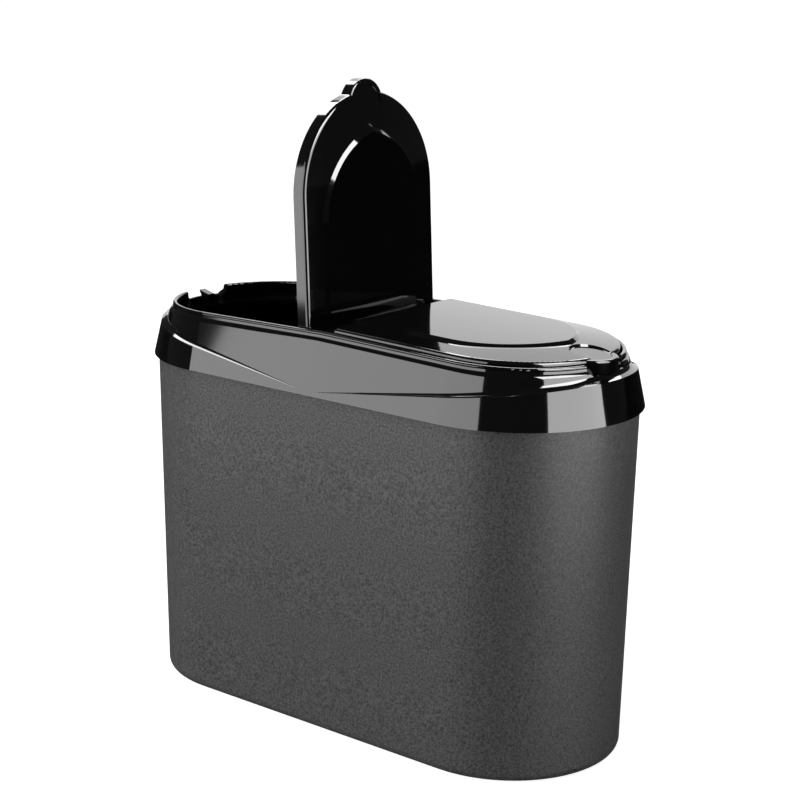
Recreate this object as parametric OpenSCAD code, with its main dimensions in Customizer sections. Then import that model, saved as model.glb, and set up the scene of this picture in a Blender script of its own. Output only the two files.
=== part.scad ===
/* [Tub] */
// Distance between the centres of the two round ends
end_span = 134.4; // [110:0.1:160]
// Radius of the round ends at the foot
foot_r = 47.8; // [44:0.1:49]
// Radius of the round ends just under the lid
tub_r = 50.6; // [50:0.1:52]
// Height of the full wall, up to the step of the rim
tub_h = 147.6; // [120:0.1:200]
// Thickness of the wall
tub_wall = 2.2; // [1.8:0.1:2.6]
// Thickness of the floor
floor_t = 2.5; // [1.5:0.1:4]
// Radius round the foot
foot_fillet = 3.5; // [2.6:0.1:6]
// Height of the thinner rim above the step
rim_h = 2.6; // [1.5:0.1:5]
// Depth of the step outside the rim
rim_step = 0.9; // [0.5:0.1:1.2]

/* [Lid skirt] */
// Height that the skirt hangs below the step of the tub's rim
skirt_drop = 0.4; // [0:0.1:3]
// Gap between the tub's wall and the skirt's lower edge
skirt_gap = 0.3; // [0.2:0.1:1]
// Thickness of the skirt and of the sloping side
skin = 1.6; // [1.2:0.1:2]
// Inward lean of the lower band, in millimetres for each millimetre of height
lower_lean = 0.222; // [0.2:0.001:0.26]
// Inward lean of the upper band, in millimetres for each millimetre of height
upper_lean = 0.33; // [0.31:0.005:0.36]
// Height of the stepped crease above the skirt's edge at mid length
crease_start = 1.4; // [1:0.1:3]
// Rise of the crease towards the ends, in millimetres for each millimetre of length
crease_rise = 0.13; // [0.1:0.001:0.132]

/* [Lid ring and seat] */
// Height from the skirt's edge to the top of the ring at mid length
ring_h = 25.4; // [24:0.1:27]
// Angle at which each half of the ring falls towards its end, in degrees
lid_fall = 1.2; // [0.8:0.1:1.4]
// Width of the lid's border, from the skirt's lower edge to the flap well
border_w = 10.2; // [9.6:0.1:11.6]
// Depth of the flap well below the top of the ring
well_depth = 7.6; // [7.4:0.1:9]
// Width of the seat ledge in the well
seat_w = 5.6; // [4.5:0.1:7]
// Thickness of the seat ledge
seat_t = 1.6; // [1.2:0.1:2.4]
// Radius of the shoulder between the upper band and the ring
shoulder_r = 3; // [2:0.1:4]
// Radius of the ring's top edge
bead_r = 0.9; // [0.5:0.1:1.2]
// Depth of the flange that plugs into the tub
plug_depth = 9; // [6:0.5:16]
// Thickness of the plug flange
plug_t = 1.4; // [1:0.1:2]
// Gap between the plug flange and the tub
plug_gap = 0.45; // [0.3:0.05:1]
// Gap between the tub's rim and the lid that sits on it
seat_gap = 0.2; // [0.1:0.05:0.5]

/* [Bridge] */
// Width of the bridge between the two flaps
bridge_w = 9.2; // [6:0.1:9.2]
// Drop of the bridge below the top of the ring
bridge_drop = 0.7; // [0:0.1:2]
// Depth of the bridge
bridge_h = 12; // [10:0.1:20]
// Thickness of the bridge's walls
bridge_t = 1.8; // [1.2:0.1:2.4]
// Radius of the bridge's top edges
bridge_edge = 1.5; // [0.5:0.1:1.7]

/* [Notch and latch hook] */
// Width of the finger notch at its floor
notch_floor_w = 16.8; // [14:0.1:20]
// Width of the finger notch beside the foot of the press tab
notch_mid_w = 20.4; // [20.2:0.1:24]
// Width of the finger notch at the ring's rounded corners
notch_w = 24.4; // [24.2:0.1:28]
// Radius of the ring's corners at the notch
notch_round = 2; // [1:0.1:3]
// Width of the latch hook
hook_w = 3.6; // [2.5:0.1:6]
// Height of the latch hook's tip above the seat ledge
hook_h = 6.6; // [5.5:0.1:6.8]
// Fall of the hook's top from its tip to its back
hook_fall = 1.6; // [1:0.1:2.4]
// Thickness of the hook's tongue at its foot
hook_t = 1.6; // [1:0.1:1.8]
// Length of the hook's nose, with the tongue
hook_nose = 5.8; // [4.5:0.1:6]
// Bulge of the nose's underside
nose_bulge = 0.6; // [0.3:0.1:1]
// Gap between the hook's nose and the inside of the press tab
hook_gap = 1.2; // [1.2:0.1:1.8]

/* [Flaps] */
// Gap between the flap and the wall of its well
flap_gap = 0.7; // [0.4:0.05:1]
// Height of the flaps' crown above the ring
crown_h = 5; // [4.5:0.1:5.5]
// Radius of the crown across the flap
crown_r = 258; // [240:1:290]
// Thickness of the flap's plate
plate_t = 1.8; // [1.5:0.1:2]
// Thickness of the flap's side wall
side_t = 1.5; // [1.2:0.1:1.8]
// Depth of the flap's side wall below the top of the ring
side_drop = 4.1; // [3.5:0.1:4.5]
// Radius of the flap's top edge
edge_fillet = 1.6; // [0.8:0.1:1.8]
// Half width of the raised arched panel
panel_w = 29.6; // [24:0.1:31]
// Radius of the two arcs that meet at the panel's tip
panel_arc = 36.8; // [34:0.1:42]
// Distance from the panel's tip to the outer edge of the well
panel_back = 17.6; // [16:0.1:22]
// Height of the panel's middle above the flap's crown
panel_step = 0.15; // [0.1:0.05:0.2]
// Radius of the panel's own crown, flatter than the flap's
panel_r = 700; // [500:10:1000]
// Outward slope of the panel's edges, in millimetres for each millimetre of depth
panel_lean = 1.2; // [0.5:0.1:1.5]

/* [Press tab] */
// Radius of the press tab
tab_r = 11; // [9.5:0.1:12]
// Reach of the tab beyond the wall of the well
tab_reach = 4.5; // [3.5:0.1:5]
// Height of the tab above the top of the ring
tab_h = 1.3; // [1:0.1:1.6]
// Radius of the tab's top edge
tab_fillet = 1; // [0.5:0.1:1.2]
// Radius of the fillets where the tab meets the flap
tab_root = 3; // [2:0.1:4]
// Ease of those fillets past the flap's and the tab's edges
root_ease = 0.06; // [0.04:0.01:0.1]
// Radius of the round thumb dish
dish_r = 9; // [7:0.1:9]
// Depth of the dish below the crown at its centre
dish_depth = 0.8; // [0.5:0.05:0.9]
// Width of the dish's sloping wall at that depth
dish_wall = 0.8; // [0.4:0.1:1.2]
// Tilt of the dish, in degrees
dish_tilt = 6.5; // [5:0.1:8]
// Depth of the catch rib inside the tab
catch_d = 0.9; // [0.6:0.1:0.9]
// Height of the catch rib
catch_h = 0.7; // [0.5:0.1:0.8]

/* [Hinge] */
// Distance from the middle of the lid to each hinge rod
axis_x = 12.4; // [12.3:0.05:13.5]
// Depth of the hinge rods below the top of the ring
axis_drop = 2.3; // [2:0.05:2.4]
// Angle through which each flap opens
open_angle = 88.2; // [60:0.1:89]
// Diameter of the hinge rods
rod_d = 2.5; // [2:0.1:2.6]
// Radial clearance of the rods in their bores
rod_fit = 0.05; // [0.02:0.01:0.09]
// Wall round each bore
hub_wall = 1.3; // [1:0.1:1.3]
// Width of the lid's bearing ears along the rod
ear_w = 2.4; // [1.8:0.1:2.4]
// Distance from the rod's middle to the near side of an ear's foot
ear_foot_x = 3; // [2.8:0.1:3.6]
// Length of an ear's foot along the lid
ear_foot_l = 2.6; // [2:0.1:3]
// Gap between the ears and the pockets that they turn in
ear_gap = 0.3; // [0.2:0.05:0.4]
// Width of the flap's knuckles along the rod
knuckle_w = 3; // [2:0.1:4]
// Distance from the middle to the inner knuckles
knuckle_y = 10; // [6:0.5:14]
// Running gap at the sides of the ears, the knuckles and the rod's ends
side_gap = 0.4; // [0.3:0.05:0.6]
// Gap between the hinge barrel and what it turns in
barrel_gap = 0.5; // [0.4:0.05:0.8]

/* [Springs] */
// Diameter of the spring wire
wire_d = 0.9; // [0.6:0.05:1]
// Full turns of the coil
coil_turns = 4; // [3:1:6]
// Gap between the rod and the coil
coil_gap = 0.4; // [0.3:0.05:0.6]
// Gap between neighbouring turns
turn_gap = 0.12; // [0.05:0.01:0.2]
// Length of the leg that lifts the flap
leg_l = 16; // [10:0.5:24]
// Gap between the wire and what it bears on
wire_gap = 0.3; // [0.2:0.05:0.4]

/* [Hidden] */
$fn = 96;
fine = 720;
over = 40;

half = end_span / 2;
draft = atan((tub_r - foot_r) / tub_h);
rim_top = tub_h + rim_h;

skirt_z = tub_h - skirt_drop;
skirt_r = tub_r + skirt_gap + skin + lower_lean * skirt_drop;
well_r = skirt_r - border_w;
fade_z = skirt_z + crease_start;
ring_z = skirt_z + ring_h;
seat_z = ring_z - well_depth;
seat_r = well_r - seat_w;
web_z = rim_top + seat_gap;
shoulder_z = seat_z + 3.6;
far_x = half + skirt_r + over;

axis_z = ring_z - axis_drop;
crown_z = ring_z + crown_h;
barrel_r = crown_z - axis_z;
flap_r = well_r - flap_gap;
flap_z = ring_z - side_drop;
rod_r = rod_d / 2;
bore_r = rod_r + rod_fit;
hub_r = bore_r + hub_wall;
ear_out = flap_r - side_t - side_gap;
ear_in = ear_out - ear_w;
rod_half = ear_out;
outer_knuckle = ear_in - side_gap - knuckle_w / 2;

tab_tip = half + well_r + tab_reach;
tab_x = tab_tip - tab_r;
tab_z = ring_z + tab_h;
panel_tip = half + well_r - panel_back;
hook_tip = tab_tip - side_t - hook_gap;
hook_x = hook_tip - hook_nose;

// Outside radius of the lower and of the upper band at height z
function lower_r(z) = skirt_r - lower_lean * (z - skirt_z);
function upper_r(z) = lower_r(fade_z) - upper_lean * (z - fade_z);
// Height of the crease at distance x from the middle
function crease_z(x) = fade_z + crease_rise * abs(x);

// Obround ring or solid: the profile runs round two half circles and two straights
module obround(half_length) {
    for (side = [0, 180])
        rotate([0, 0, side])
            translate([half_length, 0, 0])
                rotate([0, 0, -90])
                    rotate_extrude(angle = 180)
                        children();
    rotate([90, 0, 90])
        linear_extrude(2 * half_length, center = true) {
            children();
            mirror([1, 0])
                children();
        }
}

// Tub profile with a rounded foot: the wall leans out from foot radius r, up to height top
module tub_profile(r, z_low, fillet, top) {
    z_c = z_low + fillet;
    x_c = r + z_c * tan(draft) - fillet / cos(draft);
    tangent = [x_c + fillet * cos(draft), z_c - fillet * sin(draft)];
    polygon([[0, z_low], [x_c, z_low], tangent, [r + top * tan(draft), top], [0, top]]);
    translate([x_c, z_c])
        circle(fillet);
}

module bin_body() {
    inner_r = foot_r - tub_wall;
    color("#4b4b4c")
        difference() {
            union() {
                obround(half)
                    tub_profile(foot_r, 0, foot_fillet, tub_h);
                obround(half)
                    translate([0, tub_h - tub_wall])
                        square([tub_r - rim_step, rim_h + tub_wall]);
            }
            obround(half)
                tub_profile(inner_r, floor_t, foot_fillet - 1, rim_top + 1);
        }
}

// Turns the right half of the lid's top down towards its end
module fall() {
    translate([0, 0, ring_z])
        rotate([0, lid_fall, 0])
            translate([0, 0, -ring_z])
                children();
}

// Skirt and sloping side below the crease
module lower_band() {
    top = crease_z(half + skirt_r);
    // the upper band leans in further at the ends, where it has fallen, and this band reaches it
    reach = skin + upper_lean * (half + skirt_r) * tan(lid_fall);
    intersection() {
        obround(half)
            polygon([
                [skirt_r - skin, skirt_z], [skirt_r, skirt_z], [lower_r(top), top],
                [upper_r(top) - reach, top], [upper_r(web_z) - reach, web_z], [skirt_r - skin, web_z]
            ]);
        rotate([90, 0, 0])
            linear_extrude(2 * far_x, center = true)
                polygon([
                    [-far_x, skirt_z - over], [far_x, skirt_z - over], [far_x, crease_z(far_x)],
                    [0, fade_z], [-far_x, crease_z(far_x)]
                ]);
    }
}

// Right half of the lid's top, above the crease and with the overlap that joins it to the lower band
module fallen_half() {
    lap = 2;
    intersection() {
        fall()
            children();
        translate([0, far_x / 2, 0])
            rotate([90, 0, 0])
                linear_extrude(far_x)
                    polygon([
                        [0, fade_z], [lap / crease_rise, fade_z], [far_x, crease_z(far_x) - lap],
                        [far_x, ring_z + over], [0, ring_z + over]
                    ]);
    }
}

// Section of the upper band, the shoulder, the ring and the seat ledge
module ring_profile() {
    lean = atan(upper_lean);
    // the shoulder's arc starts square to the band
    arc_x = upper_r(shoulder_z) - shoulder_r * cos(lean);
    arc_z = shoulder_z - shoulder_r * sin(lean);
    kink = [arc_x + shoulder_r * cos(60), arc_z + shoulder_r * sin(60)];
    bead = [well_r + bead_r, ring_z - bead_r];
    slope = atan2(bead[1] - kink[1], kink[0] - bead[0]);
    reach = sqrt(pow(bead[1] - kink[1], 2) + pow(kink[0] - bead[0], 2));
    turn = 90 - slope + asin(bead_r / reach);
    tangent = [bead[0] + bead_r * cos(turn), bead[1] + bead_r * sin(turn)];
    polygon([
        [upper_r(fade_z) - skin, fade_z], [upper_r(fade_z), fade_z],
        [upper_r(shoulder_z), shoulder_z], [arc_x, arc_z], kink, tangent, bead,
        [bead[0], ring_z], [well_r, ring_z - bead_r], [well_r, seat_z],
        [seat_r, seat_z], [seat_r, seat_z - seat_t],
        [upper_r(seat_z - seat_t) - skin, seat_z - seat_t]
    ]);
    translate([arc_x, arc_z])
        intersection() {
            circle(shoulder_r);
            polygon(concat([[0, 0]],
                [for (a = [lean, (lean + 60) / 2, 60]) 3 * shoulder_r * [cos(a), sin(a)]]));
        }
    translate(bead)
        circle(bead_r);
}

// Web that sits on the tub's rim, with the flange that plugs into the tub
module plug_profile() {
    outer = tub_r - tub_wall - plug_gap;
    translate([outer - plug_t, rim_top - plug_depth])
        square([plug_t, plug_depth + seat_gap + skin]);
    polygon([
        [outer - plug_t, web_z], [upper_r(web_z) - skin / 2, web_z],
        [upper_r(web_z + skin) - skin / 2, web_z + skin], [outer - plug_t, web_z + skin]
    ]);
}

// Bridge between the flaps: an upturned channel with rounded top edges
module bridge() {
    top = ring_z - bridge_drop;
    w = bridge_w / 2;
    r = bridge_edge;
    rotate([90, 0, 0])
        linear_extrude(2 * (well_r + bead_r), center = true)
            difference() {
                union() {
                    translate([-w, top - bridge_h])
                        square([bridge_w, bridge_h - r]);
                    translate([r - w, top - bridge_h])
                        square([bridge_w - 2 * r, bridge_h]);
                    for (side = [-1, 1])
                        translate([side * (w - r), top - r])
                            circle(r);
                }
                translate([bridge_t - w, top - bridge_h - 1])
                    square([bridge_w - 2 * bridge_t, bridge_h - bridge_t + 1]);
            }
}

// Ears that carry the rod of the right flap; each stands on the seat ledge
module ears() {
    for (side = [-1, 1])
        translate([axis_x, side * (ear_in + ear_out) / 2, axis_z])
            rotate([90, 0, 0])
                linear_extrude(ear_w, center = true)
                    difference() {
                        union() {
                            circle(hub_r);
                            polygon([
                                [ear_foot_x, seat_z - seat_t - axis_z],
                                [ear_foot_x + ear_foot_l, seat_z - seat_t - axis_z],
                                [ear_foot_x + ear_foot_l, 0], [hub_r * cos(80), hub_r * sin(80)],
                                [hub_r * cos(60), -hub_r * sin(60)], [ear_foot_x, seat_z - axis_z]
                            ]);
                        }
                        circle(bore_r);
                    }
}

// Latch hook of the right end: a springy tongue with an outward nose, like a fin
module hook() {
    tip = [hook_tip, seat_z + hook_h];
    root = [hook_x + hook_t, seat_z + 0.5];
    outward = [tip[1] - root[1], root[0] - tip[0]] / norm(tip - root);
    rotate([90, 0, 0])
        linear_extrude(hook_w, center = true)
            polygon([
                [hook_x, seat_z - seat_t], [root[0], seat_z - seat_t], root,
                (tip + root) / 2 + nose_bulge * outward, tip, [hook_x, tip[1] - hook_fall]
            ]);
}

// Finger notch through the upper band at one end
module notch_cut() {
    w = notch_w / 2;
    arc_z = ring_z - notch_round * 0.8;
    translate([half + seat_r + 1, 0, 0])
        rotate([90, 0, 90])
            linear_extrude(over) {
                polygon([
                    [-notch_floor_w / 2, seat_z], [notch_floor_w / 2, seat_z],
                    [notch_mid_w / 2, flap_z - 0.6], [w, arc_z - 1.2], [w, arc_z + over],
                    [-w, arc_z + over], [-w, arc_z - 1.2], [-notch_mid_w / 2, flap_z - 0.6]
                ]);
                difference() {
                    translate([-w - notch_round, arc_z])
                        square([notch_w + 2 * notch_round, over]);
                    for (side = [-1, 1])
                        translate([side * (w + notch_round), arc_z])
                            circle(notch_round);
                }
            }
}

// Room in the seat ledge for the barrel of the right flap when it turns down
module barrel_room() {
    room = barrel_r + barrel_gap;
    intersection() {
        translate([axis_x, 0, axis_z])
            rotate([90, 0, 0])
                cylinder(r = room, h = 2 * well_r, center = true);
        translate([bridge_w / 2, -well_r, axis_z - over])
            cube([axis_x + 2.4 - bridge_w / 2, 2 * well_r, over]);
    }
}

module lid_collar() {
    color("#17181a") {
        lower_band();
        obround(half)
            plug_profile();
        bridge();
        for (side = [0, 1])
            mirror([side, 0, 0]) {
                fallen_half()
                    difference() {
                        obround(half)
                            ring_profile();
                        notch_cut();
                        barrel_room();
                    }
                fall() {
                    ears();
                    hook();
                }
            }
    }
}

// Centre of the arc at the flap's top edge, which touches the crown and the side wall
edge_x = flap_r - edge_fillet;
edge_z = crown_z - crown_r + sqrt(pow(crown_r - edge_fillet, 2) - pow(edge_x, 2));

// Outer section of a flap: crown, rounded edge and side wall
module flap_profile() {
    centre_z = crown_z - crown_r;
    ray = [edge_x, edge_z - centre_z] / (crown_r - edge_fillet);
    intersection() {
        translate([0, centre_z])
            circle(crown_r, $fn = fine);
        union() {
            polygon([
                [0, flap_z], [flap_r, flap_z], [flap_r, edge_z], [edge_x, edge_z],
                [edge_x, edge_z] + 2 * crown_h * ray, [0, crown_z + 2 * crown_h]
            ]);
            translate([edge_x, edge_z])
                circle(edge_fillet);
        }
    }
}

// Section of the hollow under a flap
module hollow_profile() {
    intersection() {
        translate([0, crown_z - crown_r])
            circle(crown_r - plate_t, $fn = fine);
        translate([0, flap_z - 1])
            square([flap_r - side_t, over]);
    }
}

// Room right of the rod, with a barrel of radius end_r round the rod
module barrel_end(end_r) {
    translate([axis_x, -over - flap_r, axis_z - over])
        cube([2 * half, 2 * (over + flap_r), 2 * over]);
    translate([axis_x, 0, axis_z])
        rotate([90, 0, 0])
            cylinder(r = end_r, h = 3 * flap_r, center = true);
}

// Closed right flap or its hollow: a round end, and a straight that a barrel ends at the rod
module flap_form(end_r) {
    translate([half, 0, 0])
        rotate([0, 0, -90])
            rotate_extrude(angle = 180)
                children();
    intersection() {
        rotate([90, 0, 90])
            linear_extrude(half) {
                children();
                mirror([1, 0])
                    children();
            }
        barrel_end(end_r);
    }
}

// Press tab with a rounded top edge, and the fillets at its root
module tab_form() {
    translate([tab_x, 0, 0]) {
        translate([0, 0, flap_z])
            cylinder(r = tab_r, h = tab_z - tab_fillet - flap_z);
        rotate_extrude()
            intersection() {
                union() {
                    translate([0, flap_z])
                        square([tab_r - tab_fillet, tab_z - flap_z]);
                    translate([tab_r - tab_fillet, tab_z - tab_fillet])
                        circle(tab_fillet);
                }
                translate([0, flap_z])
                    square([tab_r, over]);
            }
    }
    gap = tab_x - half;
    side_a = flap_r + tab_root;
    side_b = tab_r + tab_root;
    root_x = (side_a * side_a - side_b * side_b + gap * gap) / (2 * gap);
    root_y = sqrt(side_a * side_a - root_x * root_x);
    root = [root_x, root_y];
    inset = 2;
    for (side = [0, 1])
        mirror([0, side, 0])
            translate([half, 0, flap_z])
                linear_extrude(tab_z - tab_fillet - flap_z)
                    difference() {
                        polygon([
                            root * (flap_r - inset) / side_a, root,
                            [gap, 0] + (root - [gap, 0]) * (tab_r - inset) / side_b
                        ]);
                        translate(root)
                            circle(tab_root + root_ease);
                    }
}

// Pointed arch of the raised panel, with edges that slope outward on their way down
module panel_arch() {
    drop = panel_arc - panel_w;
    arc_x = panel_tip - sqrt(panel_arc * panel_arc - drop * drop);
    low = axis_z;
    high = crown_z + panel_step + 1;
    spread = panel_lean * (high - 1 - low);
    rotate([90, 0, 90])
        linear_extrude(arc_x)
            polygon([
                [-panel_w - spread, low], [panel_w + spread, low],
                [panel_w - panel_lean, high], [panel_lean - panel_w, high]
            ]);
    intersection() {
        translate([arc_x, -drop, low])
            cylinder(r1 = panel_arc + spread, r2 = panel_arc - panel_lean, h = high - low);
        translate([arc_x, drop, low])
            cylinder(r1 = panel_arc + spread, r2 = panel_arc - panel_lean, h = high - low);
        translate([arc_x, -panel_w - spread, low])
            cube([panel_arc + spread, 2 * (panel_w + spread), high - low]);
    }
}

// Raised panel: it has a flatter crown than the flap, and runs on over the barrel
module panel() {
    intersection() {
        panel_arch();
        rotate([90, 0, 90])
            linear_extrude(panel_tip + panel_arc)
                translate([0, crown_z + panel_step - panel_r])
                    circle(panel_r, $fn = fine);
        barrel_end(barrel_r + panel_step);
    }
}

// Knuckles on the rod, each with a web up to the plate
module knuckles() {
    for (y = [-outer_knuckle, -knuckle_y, knuckle_y, outer_knuckle])
        translate([axis_x, y, axis_z])
            rotate([90, 0, 0])
                cylinder(r = hub_r, h = knuckle_w, center = true);
    intersection() {
        for (y = [-outer_knuckle, -knuckle_y, knuckle_y, outer_knuckle])
            translate([axis_x - hub_r, y - knuckle_w / 2, axis_z])
                cube([2 * hub_r, knuckle_w, barrel_r]);
        flap_form(barrel_r)
            flap_profile();
    }
}

// The right flap, closed
module flap() {
    dish_z = crown_z - pow(tab_x - half, 2) / (2 * crown_r) - dish_depth;
    difference() {
        union() {
            difference() {
                union() {
                    flap_form(barrel_r)
                        flap_profile();
                    tab_form();
                    panel();
                }
                flap_form(barrel_r - plate_t)
                    hollow_profile();
                translate([tab_x, 0, flap_z - 1])
                    cylinder(r = tab_r - side_t, h = tab_z - plate_t - flap_z + 1);
                for (side = [-1, 1])
                    translate([axis_x, side * (ear_in + ear_out) / 2, axis_z])
                        rotate([90, 0, 0])
                            cylinder(r = hub_r + ear_gap, h = ear_w + side_gap, center = true);
            }
            knuckles();
            translate([tab_tip - side_t - catch_d, -hook_w / 2, flap_z])
                cube([catch_d + side_t / 2, hook_w, catch_h]);
        }
        translate([axis_x, 0, axis_z])
            rotate([90, 0, 0])
                cylinder(r = bore_r, h = 2 * ear_in, center = true);
        translate([tab_x, 0, dish_z])
            rotate([0, dish_tilt, 0])
                cylinder(r1 = dish_r - dish_wall, r2 = dish_r + (over / dish_depth - 1) * dish_wall, h = over);
    }
}

module left_flap() {
    color("#141517")
        mirror([1, 0, 0])
            fall()
                translate([axis_x, 0, axis_z])
                    rotate([0, -open_angle, 0])
                        translate([-axis_x, 0, -axis_z])
                            flap();
}

module right_flap() {
    color("#141517")
        fall()
            flap();
}

module hinge_rod() {
    color("#b9bcc0")
        fall()
            translate([axis_x, 0, axis_z])
                rotate([90, 0, 0])
                    cylinder(r = rod_r, h = 2 * rod_half, center = true);
}

module left_hinge_rod() {
    mirror([1, 0, 0])
        hinge_rod();
}

module right_hinge_rod() {
    hinge_rod();
}

// Torsion spring beside the right flap's outer knuckle, for a flap that stands at angle lift
coil_r = rod_r + coil_gap + wire_d / 2;
pitch = wire_d + turn_gap;
coil_end = outer_knuckle - knuckle_w / 2 - side_gap - wire_d / 2;
// the fixed leg reaches down and out to a point beside the ear's foot
foot_x = ear_foot_x + ear_foot_l + wire_gap + wire_d / 2;
foot_z = -3;
foot_angle = atan2(foot_z, foot_x);
foot_reach = sqrt(foot_x * foot_x + foot_z * foot_z);
start_angle = foot_angle - acos(coil_r / foot_reach);

function spring_path(lift) =
    let (
        sweep = 360 * coil_turns + (start_angle + 270) - lift,
        steps = ceil(sweep / 15),
        coil_length = pitch * sweep / 360,
        plate = barrel_r - plate_t - pow(coil_end - coil_length, 2) / (2 * crown_r),
        rise = plate - wire_gap - wire_d / 2 - coil_r
    ) concat(
        [[foot_x, coil_end, foot_z]],
        [for (i = [0 : steps])
            let (a = start_angle - sweep * i / steps)
            [coil_r * cos(a), coil_end - coil_length * i / steps, coil_r * sin(a)]],
        [for (s = [0.35, 1])
            let (u = leg_l * s, v = coil_r + rise * s)
            [u * cos(lift) - v * sin(lift), coil_end - coil_length, u * sin(lift) + v * cos(lift)]]
    );

// Round wire along a path
module wire(path, sides = 8) {
    n = len(path);
    function unit(v) = v / norm(v);
    function along(i) = unit(path[min(i + 1, n - 1)] - path[max(i - 1, 0)]);
    points = [for (i = [0 : n - 1])
        let (t = along(i), u = unit(cross(t, [0, 1, 0.001])), v = cross(t, u))
        for (k = [0 : sides - 1])
            path[i] + wire_d / 2 * (cos(360 * k / sides) * u + sin(360 * k / sides) * v)];
    rings = [for (i = [0 : n - 2], k = [0 : sides - 1])
        let (j = (k + 1) % sides)
        [i * sides + k, i * sides + j, (i + 1) * sides + j, (i + 1) * sides + k]];
    polyhedron(points, concat([[for (k = [sides - 1 : -1 : 0]) k]], rings,
        [[for (k = [0 : sides - 1]) (n - 1) * sides + k]]));
}

module spring(lift) {
    color("#9fa3a8")
        fall()
            translate([axis_x, 0, axis_z])
                wire(spring_path(lift));
}

module left_spring() {
    mirror([1, 0, 0])
        spring(open_angle);
}

module right_spring() {
    spring(0);
}

bin_body();
lid_collar();
left_flap();
right_flap();
left_hinge_rod();
right_hinge_rod();
left_spring();
right_spring();
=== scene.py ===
import math

import bpy
from mathutils import Matrix, Vector


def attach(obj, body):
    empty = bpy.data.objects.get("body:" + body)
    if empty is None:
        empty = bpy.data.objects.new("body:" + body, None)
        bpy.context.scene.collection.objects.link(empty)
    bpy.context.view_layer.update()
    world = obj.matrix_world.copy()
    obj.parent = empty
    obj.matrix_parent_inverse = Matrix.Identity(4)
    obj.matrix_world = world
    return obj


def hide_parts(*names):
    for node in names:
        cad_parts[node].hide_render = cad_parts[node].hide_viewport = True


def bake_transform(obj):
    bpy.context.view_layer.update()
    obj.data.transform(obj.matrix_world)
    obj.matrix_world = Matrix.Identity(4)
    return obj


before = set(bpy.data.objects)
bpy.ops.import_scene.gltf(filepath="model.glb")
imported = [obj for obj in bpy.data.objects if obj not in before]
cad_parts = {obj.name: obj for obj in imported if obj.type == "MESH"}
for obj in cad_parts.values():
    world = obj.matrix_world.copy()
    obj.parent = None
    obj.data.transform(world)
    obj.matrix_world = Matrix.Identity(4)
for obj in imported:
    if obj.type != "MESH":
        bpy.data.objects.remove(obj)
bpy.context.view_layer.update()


# Tub of the bin: one polypropylene moulding, obround in plan and slightly wider at the top.
# Its mould was spark-eroded, so the outside has a fine even grain that scatters the light softly,
# and it stays plain grey where the lid is black.
MM = 0.001


def linear(hex_colour):
    channels = [int(hex_colour[i:i + 2], 16) / 255 for i in (1, 3, 5)]
    return [c / 12.92 if c <= 0.04045 else ((c + 0.055) / 1.055) ** 2.4 for c in channels] + [1]


def add_node(tree, kind, settings=None, links=None):
    node = tree.nodes.new(kind)
    for name, value in (settings or {}).items():
        if isinstance(name, int) or name in node.inputs:
            node.inputs[name].default_value = value
        else:
            setattr(node, name, value)
    for name, source in (links or {}).items():
        tree.links.new(source, node.inputs[name])
    return node


# Spark-eroded polypropylene: dark grey with a dull sheen, speckled and slightly uneven, like fine leather.
# The real grain is about 0.3 mm across, and it is drawn coarser so that it shows.
grained = bpy.data.materials.new("spark_eroded_polypropylene")
grained.use_nodes = True
tree = grained.node_tree
tree.nodes.clear()
place = add_node(tree, "ShaderNodeTexCoord")
GRAIN_MM = 0.9
grain = add_node(tree, "ShaderNodeTexNoise", {"Scale": 1 / (GRAIN_MM * MM), "Detail": 3.0, "Roughness": 0.6},
                 {"Vector": place.outputs["Object"]})
FLOW_MM = 60
flow = add_node(tree, "ShaderNodeTexNoise", {"Scale": 1 / (FLOW_MM * MM), "Detail": 2.0},
                {"Vector": place.outputs["Object"]})
tone = add_node(tree, "ShaderNodeValToRGB", {}, {"Fac": grain.outputs["Fac"]})
for stop, position, colour in zip(tone.color_ramp.elements, (0.3, 0.7), ("#2e2e2f", "#69696a")):
    stop.position, stop.color = position, linear(colour)
rough = add_node(tree, "ShaderNodeMapRange", {"To Min": 0.36, "To Max": 0.44}, {"Value": flow.outputs["Fac"]})
GRAIN_DEPTH_MM = 0.04
bump = add_node(tree, "ShaderNodeBump", {"Strength": 1.0, "Distance": GRAIN_DEPTH_MM * MM},
                {"Height": grain.outputs["Fac"]})
shader = add_node(tree, "ShaderNodeBsdfPrincipled", {"IOR": 1.49},
                  {"Base Color": tone.outputs["Color"], "Roughness": rough.outputs["Result"],
                   "Normal": bump.outputs["Normal"]})
add_node(tree, "ShaderNodeOutputMaterial", {}, {"Surface": shader.outputs["BSDF"]})

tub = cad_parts["bin_body"]
tub.data.materials.clear()
tub.data.materials.append(grained)


# Lid: a collar in black ABS from a polished mould. It carries the two flaps, their hinge ears,
# the bridge between them and a springy latch hook at each end.
# Polished ABS: a deep black whose sharp reflections show every edge, a little uneven where the wall sinks
gloss = bpy.data.materials.new("polished_black_abs")
gloss.use_nodes = True
tree = gloss.node_tree
tree.nodes.clear()
place = add_node(tree, "ShaderNodeTexCoord")
SINK_MM = 25
sink = add_node(tree, "ShaderNodeTexNoise", {"Scale": 1 / (SINK_MM * MM), "Detail": 1.0},
                {"Vector": place.outputs["Object"]})
haze = add_node(tree, "ShaderNodeMapRange", {"To Min": 0.045, "To Max": 0.075}, {"Value": sink.outputs["Fac"]})
shader = add_node(tree, "ShaderNodeBsdfPrincipled", {"Base Color": linear("#0b0b0c"), "IOR": 1.54},
                  {"Roughness": haze.outputs["Result"]})
add_node(tree, "ShaderNodeOutputMaterial", {}, {"Surface": shader.outputs["BSDF"]})

for name in ("lid_collar", "left_flap", "right_flap"):
    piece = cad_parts[name]
    piece.data.materials.clear()
    piece.data.materials.append(gloss)


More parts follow.
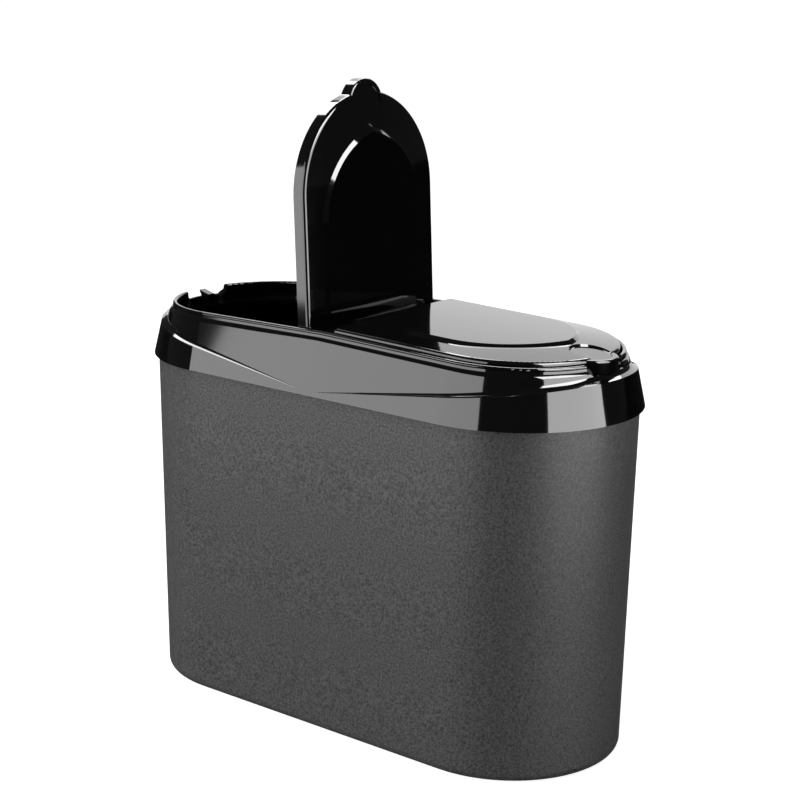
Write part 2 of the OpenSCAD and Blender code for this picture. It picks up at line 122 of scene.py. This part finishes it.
# Step of the collar's crease: the line rises from mid length towards both ends, and above it the collar steps
# in. In the moulding the step is a sloping ledge that turns up into the upper band through a hollow. It is one
# outline, drawn for a step 1 wide, swept along the crease of each end at the step's width there, and its root
# lies inside the collar's wall.
SPAN_MM, SKIRT_R_MM, SKIRT_Z_MM, BAND_LEAN, UPPER_LEAN = 67.2, 52.59, 147.2, 0.222, 0.33
CREASE_Z_MM, CREASE_RISE, FALL = 148.6, 0.13, math.radians(1.2)
LEDGE_SHARE, LEDGE_RISE, HOLLOW_RISE, ROOT_SHARE = 0.62, 0.42, 0.95, 0.5
FIRST_MM, LAST_MM, GAP_MM, TURN_DEG, HOLLOW_STEPS, ROUNDS = 6, 66, 4, 3, 6, 4
MERGE_MM, CREASE_EDGE = 0.001, math.radians(25)


def crease_place(along, angle):
    """Place on the crease, and width of the step there, in mm. The height and the reach along the lid depend on
    each other, so they are found in a few rounds."""
    z = CREASE_Z_MM
    for _ in range(ROUNDS):
        band = SKIRT_R_MM - BAND_LEAN * (z - SKIRT_Z_MM)
        reach = along + band * math.sin(angle)
        z = CREASE_Z_MM + CREASE_RISE * reach
    width = (UPPER_LEAN - BAND_LEAN) * (z - CREASE_Z_MM) + UPPER_LEAN * reach * math.tan(FALL)
    return reach, -band * math.cos(angle), z, width


ledge_end, corner = Vector((LEDGE_SHARE, LEDGE_RISE * LEDGE_SHARE)), Vector((1, LEDGE_RISE))
hollow_end = Vector((1 + UPPER_LEAN * HOLLOW_RISE, HOLLOW_RISE))
outline = [Vector((ROOT_SHARE, -ROOT_SHARE)), Vector((0, 0))]
for step in range(HOLLOW_STEPS + 1):
    t = step / HOLLOW_STEPS
    outline.append((1 - t) ** 2 * ledge_end + 2 * t * (1 - t) * corner + t * t * hollow_end)
outline.append(hollow_end + Vector((ROOT_SHARE, 0)))
section_curve = bpy.data.curves.new("crease_section", "CURVE")
section_curve.dimensions = "2D"
spline = section_curve.splines.new("POLY")
spline.points.add(len(outline) - 1)
spline.use_cyclic_u = True
for point, (inset, rise) in zip(spline.points, outline):
    point.co = (-inset, rise, 0, 1)
section = bpy.data.objects.new("crease_section", section_curve)
bpy.context.scene.collection.objects.link(section)

route = [(along, 0) for along in range(FIRST_MM, LAST_MM, GAP_MM)]
route += [(SPAN_MM, math.radians(degrees)) for degrees in range(0, 91, TURN_DEG)]
route += [(along, math.pi - angle) for along, angle in reversed(route[:-1])]
sweep = bpy.data.curves.new("crease_step", "CURVE")
sweep.dimensions, sweep.twist_mode = "3D", "Z_UP"
sweep.bevel_mode, sweep.bevel_object, sweep.use_fill_caps = "OBJECT", section, True
for side in (-1, 1):
    spline = sweep.splines.new("POLY")
    spline.points.add(len(route) - 1)
    for point, place in zip(spline.points, route[::side]):
        x, y, z, width = crease_place(*place)
        point.co = (side * x * MM, y * MM, z * MM, 1)
        point.radius = width * MM
piece = bpy.data.objects.new("crease_step", sweep)
bpy.context.scene.collection.objects.link(piece)
bpy.ops.object.select_all(action="DESELECT")
bpy.context.view_layer.objects.active = piece
piece.select_set(True)
bpy.ops.object.convert(target="MESH")
bpy.data.objects.remove(section)
bpy.ops.object.mode_set(mode="EDIT")
bpy.ops.mesh.select_all(action="SELECT")
bpy.ops.mesh.remove_doubles(threshold=MERGE_MM * MM)
bpy.ops.mesh.normals_make_consistent(inside=False)
bpy.ops.object.mode_set(mode="OBJECT")
bpy.ops.object.shade_smooth_by_angle(angle=CREASE_EDGE)
piece.data.materials.append(gloss)
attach(piece, "lid")


# Hinge rods and torsion springs, which are hidden in the lid but for the open mouths.
# Drawn spring steel: bright, with a sheen that varies a little where the die has marked the wire
steel = bpy.data.materials.new("drawn_spring_steel")
steel.use_nodes = True
tree = steel.node_tree
tree.nodes.clear()
place = add_node(tree, "ShaderNodeTexCoord")
DIE_MARK_MM = 0.4
marks = add_node(tree, "ShaderNodeTexNoise", {"Scale": 1 / (DIE_MARK_MM * MM), "Detail": 2.0},
                 {"Vector": place.outputs["Object"]})
rough = add_node(tree, "ShaderNodeMapRange", {"To Min": 0.25, "To Max": 0.4}, {"Value": marks.outputs["Fac"]})
shader = add_node(tree, "ShaderNodeBsdfPrincipled", {"Base Color": linear("#b9bbbe"), "Metallic": 1.0},
                  {"Roughness": rough.outputs["Result"]})
add_node(tree, "ShaderNodeOutputMaterial", {}, {"Surface": shader.outputs["BSDF"]})
for name in ("left_hinge_rod", "right_hinge_rod", "left_spring", "right_spring"):
    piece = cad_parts[name]
    piece.data.materials.clear()
    piece.data.materials.append(steel)

# Each spring's long leg lies along its flap and turns with it, while its coil and its short leg stay in the lid.
# Each spring is copied into one welded, smooth-shaded mesh and its node is hidden; the copy is not bent or
# attached to a body. At rest the left leg stands up with the open flap, and the right leg lies out under the
# closed one.
WIRE_EDGE = math.radians(50)
for side, sign, toward in (("left", -1, Vector((0, 0, 1))), ("right", 1, Vector((1, 0, 0.6)).normalized())):
    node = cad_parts[side + "_spring"]
    wire_mesh = node.data.copy()
    wire_mesh.transform(node.matrix_world)
    wire = bpy.data.objects.new(side + "_spring_wire", wire_mesh)
    bpy.context.scene.collection.objects.link(wire)
    bpy.ops.object.select_all(action="DESELECT")
    bpy.context.view_layer.objects.active = wire
    wire.select_set(True)
    bpy.ops.object.mode_set(mode="EDIT")
    bpy.ops.mesh.select_all(action="SELECT")
    bpy.ops.mesh.remove_doubles(threshold=MERGE_MM * MM)
    bpy.ops.object.mode_set(mode="OBJECT")
    bpy.ops.object.shade_smooth_by_angle(angle=WIRE_EDGE)
    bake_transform(wire)
    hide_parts(side + "_spring")


# Pale studio floor that runs out of sight on every side and keeps the bin's shadow. It glows for the camera, so
# that it is as white as the background, and it is dark in the lid, which would mirror it otherwise.
FLOOR_M, FLOOR_GLOW = 12, 0.87
bpy.ops.mesh.primitive_plane_add(size=FLOOR_M, location=(0, 0, 0))
floor = bpy.context.object
floor.name = "studio_floor"
paper = bpy.data.materials.new("white_studio_paper")
paper.use_nodes = True
tree = paper.node_tree
tree.nodes.clear()
path = add_node(tree, "ShaderNodeLightPath")
lit = add_node(tree, "ShaderNodeBsdfDiffuse", {"Color": linear("#f0f0f0")})
shown = add_node(tree, "ShaderNodeMath", {"operation": "MULTIPLY", 1: FLOOR_GLOW},
                 {0: path.outputs["Is Camera Ray"]})
glow = add_node(tree, "ShaderNodeEmission", {"Color": [1, 1, 1, 1]}, {"Strength": shown.outputs["Value"]})
both = add_node(tree, "ShaderNodeAddShader", {}, {0: lit.outputs["BSDF"], 1: glow.outputs["Emission"]})
dark = add_node(tree, "ShaderNodeBsdfDiffuse", {"Color": linear("#303030")})
mix = add_node(tree, "ShaderNodeMixShader", {},
               {"Fac": path.outputs["Is Glossy Ray"], 1: both.outputs["Shader"], 2: dark.outputs["BSDF"]})
add_node(tree, "ShaderNodeOutputMaterial", {}, {"Surface": mix.outputs["Shader"]})
floor.data.materials.append(paper)

# The world is white where the camera sees it, dim where it fills the shadows, and almost dark in the gloss, so
# that the cards below shape the lid
FILL, DIMMEST = 0.12, 0.05
world = bpy.data.worlds.new("studio")
bpy.context.scene.world = world
world.use_nodes = True
tree = world.node_tree
tree.nodes.clear()
path = add_node(tree, "ShaderNodeLightPath")
fill = add_node(tree, "ShaderNodeMath", {"operation": "MULTIPLY", 1: FILL}, {0: path.outputs["Is Diffuse Ray"]})
sky = add_node(tree, "ShaderNodeMath", {"operation": "ADD"},
               {0: path.outputs["Is Camera Ray"], 1: fill.outputs["Value"]})
base = add_node(tree, "ShaderNodeMath", {"operation": "ADD", 1: DIMMEST}, {0: sky.outputs["Value"]})
surround = add_node(tree, "ShaderNodeBackground", {"Color": [1, 1, 1, 1]}, {"Strength": base.outputs["Value"]})
add_node(tree, "ShaderNodeOutputWorld", {}, {"Surface": surround.outputs["Background"]})


# Softboxes: the key at the left, a weaker one at the right end and one above in front, so that the tub is darkest
# where its right end begins to curve. All of them face the tub, and none shows in the lid.
AIM = Vector((0, 0, 0.1))


def softbox(name, place, width, height, radiance):
    light = bpy.data.lights.new(name, "AREA")
    light.shape = "RECTANGLE"
    light.size, light.size_y = width, height
    light.energy = radiance * math.pi * width * height
    lamp = bpy.data.objects.new(name, light)
    bpy.context.scene.collection.objects.link(lamp)
    away = Vector(place) - AIM
    lamp.matrix_world = Matrix.Translation(place) @ away.to_track_quat("Z", "Y").to_matrix().to_4x4()
    lamp.visible_glossy = False


softbox("key_softbox", (-1.35, -0.9, 0.8), width=1.3, height=1.4, radiance=4.2)
softbox("top_softbox", (-0.2, -0.5, 1.5), width=1.2, height=0.9, radiance=1.2)
softbox("right_softbox", (1.4, 0.1, 0.5), width=0.9, height=0.9, radiance=0.8)


# Reflector cards: upright sheets round the bin that show only in reflections. Each is given by the two ends of its
# line on the floor, its lower and upper height, and its radiance at its lower and upper edge.
FOOT = 0.003


def card(name, start, end, heights, low, high):
    bpy.ops.mesh.primitive_plane_add(size=1)
    sheet = bpy.context.object
    sheet.name = name
    for vert, place, height in zip(sheet.data.vertices, (start, end) * 2, (heights[0],) * 2 + (heights[1],) * 2):
        vert.co = (*place, height)
    white = bpy.data.materials.new(name + "_white")
    white.use_nodes = True
    tree = white.node_tree
    tree.nodes.clear()
    light = add_node(tree, "ShaderNodeEmission", {"Color": [1, 1, 1, 1], "Strength": low})
    if high != low:
        place = add_node(tree, "ShaderNodeTexCoord")
        height = add_node(tree, "ShaderNodeSeparateXYZ", {}, {0: place.outputs["Object"]})
        ends = {"From Min": heights[0], "From Max": heights[1], "To Min": low, "To Max": high}
        grade = add_node(tree, "ShaderNodeMapRange", ends, {"Value": height.outputs["Z"]})
        tree.links.new(grade.outputs["Result"], light.inputs["Strength"])
    add_node(tree, "ShaderNodeOutputMaterial", {}, {"Surface": light.outputs["Emission"]})
    sheet.data.materials.append(white)
    sheet.visible_camera = sheet.visible_diffuse = sheet.visible_shadow = False


card("key_card", (-0.70, -0.68), (0.14, -0.90), (FOOT, 0.62), 4.3, 4.3)
card("right_card", (0.83, -0.37), (0.80, 0.40), (FOOT, 0.68), 8.0, 8.0)
card("right_top_card", (0.83, -0.37), (0.80, 0.40), (0.68, 1.6), 20.0, 20.0)
card("rear_card", (-1.35, 0.75), (-0.15, 1.6), (FOOT, 1.2), 1.0, 2.2)
card("rear_top_card", (-1.15, 0.2), (-0.2, 1.5), (1.0, 2.1), 12.0, 8.0)


# Camera: solved from the outlines in the photograph. It has a long lens, looks slightly down on the lid and is
# shifted aside and above along its own axes.
BEARING, HEIGHT, ROLL = map(math.radians, (39.06, 14.13, 0.85))
DISTANCE, ASIDE, ABOVE = 0.8916, 0.0052, 0.1316
FOCAL_PX, FRAME_PX, SENSOR_MM = 1999.6, 800, 36
back = Vector((math.sin(BEARING) * math.cos(HEIGHT), -math.cos(BEARING) * math.cos(HEIGHT), math.sin(HEIGHT)))
right = Vector((math.cos(BEARING), math.sin(BEARING), 0))
up = back.cross(right)
camera_data = bpy.data.cameras.new("camera")
camera_data.sensor_width = SENSOR_MM
camera_data.lens = SENSOR_MM * FOCAL_PX / FRAME_PX
camera = bpy.data.objects.new("camera", camera_data)
bpy.context.scene.collection.objects.link(camera)
side = right * math.cos(ROLL) + up * math.sin(ROLL)
top = up * math.cos(ROLL) - right * math.sin(ROLL)
turn = Matrix((side, top, back)).transposed().to_4x4()
camera.matrix_world = Matrix.Translation(right * ASIDE + up * ABOVE + back * DISTANCE) @ turn
bpy.context.scene.camera = camera
bpy.context.scene.view_settings.view_transform = "Standard"
